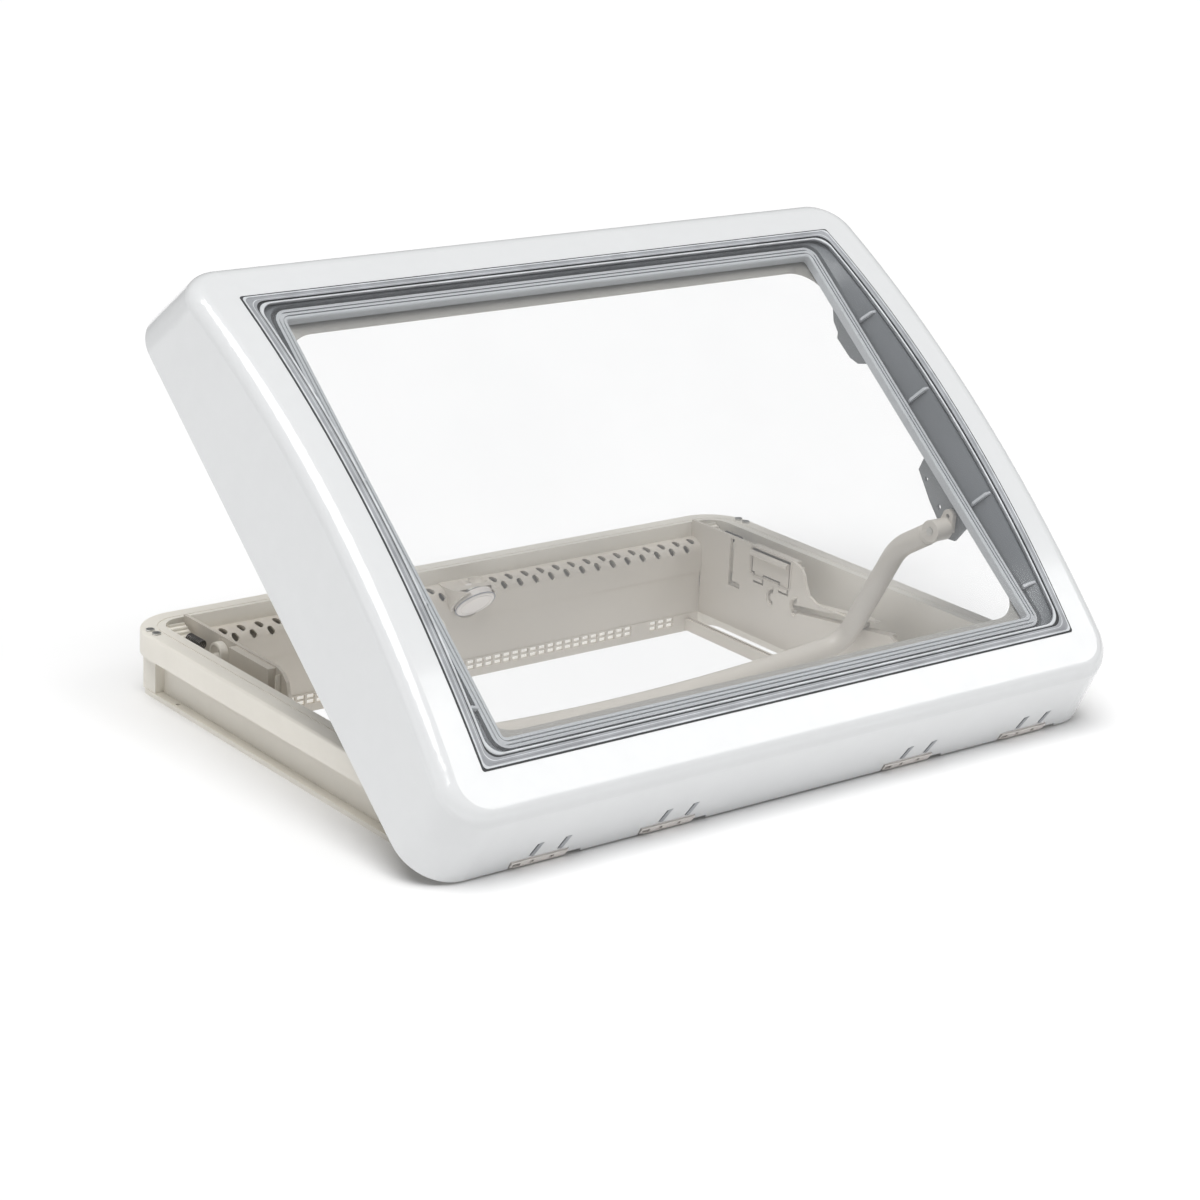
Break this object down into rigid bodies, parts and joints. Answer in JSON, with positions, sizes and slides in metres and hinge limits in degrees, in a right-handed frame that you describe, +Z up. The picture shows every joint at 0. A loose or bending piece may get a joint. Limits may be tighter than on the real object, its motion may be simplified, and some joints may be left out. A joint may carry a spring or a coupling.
{
  "type": "hinged rooflight",
  "caption": "Hinged rooflight for a leisure vehicle: a framed roof cut-out with a domed double-glazed hood held open by a U-shaped bow lever.",
  "frame": {"origin": "centre of the roof cut-out in the plane of the underside of the frame's flange", "axes": "+Z up out of the roof, +Y to the rear where the hood opens widest, +X to the right along the hinge"},
  "size_m": [0.816, 0.5811, 0.4842],
  "materials": {
    "cream_plastic": "fine satin, warm cream-grey",
    "steel": "zinc plated",
    "hood_white": "glossy cool white",
    "gasket_rubber": "matt dark grey",
    "clear_acrylic": "clear, polished",
    "frame_grey": "satin mid grey",
    "bracket_grey": "satin grey",
    "hinge_cream": "satin cream",
    "bow_cream": "satin warm cream",
    "knob_cream": "satin warm cream"
  },
  "bodies": {
    "frame": {"base_frame": "cream_plastic", "rim_screws": "steel", "right_cheek_panel": "cream_plastic", "left_cheek_panel": "cream_plastic", "right_latch_housing": "cream_plastic", "left_latch_housing": "cream_plastic", "right_flap_pins": "steel", "left_flap_pins": "steel", "rear_vent_housing": "cream_plastic", "knob_spring": "steel", "rear_inner_wall": "cream_plastic", "rear_vent_grille": "cream_plastic", "front_inner_wall": "cream_plastic", "right_blind_rail": "cream_plastic", "left_blind_rail": "cream_plastic", "hinge_bracket_1": "hinge_cream", "hinge_bracket_2": "hinge_cream", "hinge_bracket_3": "hinge_cream", "hinge_bracket_4": "hinge_cream", "hinge_pins": "steel"},
    "hood": {"hood_shell": "hood_white", "outer_gasket": "gasket_rubber", "outer_pane": "clear_acrylic", "inner_profile": "frame_grey", "inner_pane": "clear_acrylic", "inner_gasket": "gasket_rubber", "rim_seal": "gasket_rubber", "right_pivot_bracket": "bracket_grey", "left_pivot_bracket": "bracket_grey", "right_catch_bracket": "bracket_grey", "left_catch_bracket": "bracket_grey", "right_pivot_rod": "steel", "left_pivot_rod": "steel", "hinge_arm_1": "hinge_cream", "hinge_arm_2": "hinge_cream", "hinge_arm_3": "hinge_cream", "hinge_arm_4": "hinge_cream"},
    "bow": {"bow_tube": "bow_cream", "right_bow_end": "bow_cream", "left_bow_end": "bow_cream", "right_guide_pin": "bow_cream", "left_guide_pin": "bow_cream"},
    "knob": {"push_knob": "knob_cream"},
    "right_flap": {"right_latch_flap": "cream_plastic"},
    "left_flap": {"left_latch_flap": "cream_plastic"}
  },
  "joints": [
    {"name": "hood_hinge", "type": "hinge", "parent": "frame", "child": "hood", "pos_m": [0, -0.283, 0.058], "axis": [1, 0, 0], "range_deg": [-39, 21]},
    {"name": "bow_pivot", "type": "hinge", "parent": "hood", "child": "bow", "pos_m": [0, -0.132, 0.171], "axis": [1, 0, 0], "range_deg": [-43.41, 80.61]},
    {"name": "knob_push", "type": "slide", "parent": "frame", "child": "knob", "axis": [0, 0.749, 0.6626], "range_m": [0, 0.0035], "stiffness_N_per_m": 600},
    {"name": "right_flap_hinge", "type": "hinge", "parent": "frame", "child": "right_flap", "pos_m": [0.3195, 0.123, 0.037], "axis": [0, 1, 0], "range_deg": [0, 8], "stiffness_Nm_per_rad": 0.2},
    {"name": "left_flap_hinge", "type": "hinge", "parent": "frame", "child": "left_flap", "pos_m": [-0.3195, 0.123, 0.037], "axis": [0, -1, 0], "range_deg": [0, 8], "stiffness_Nm_per_rad": 0.2}
  ],
  "couplings": [
    {"joint": "bow_pivot", "follows": "hood_hinge", "ratio": -2.067}
  ]
}
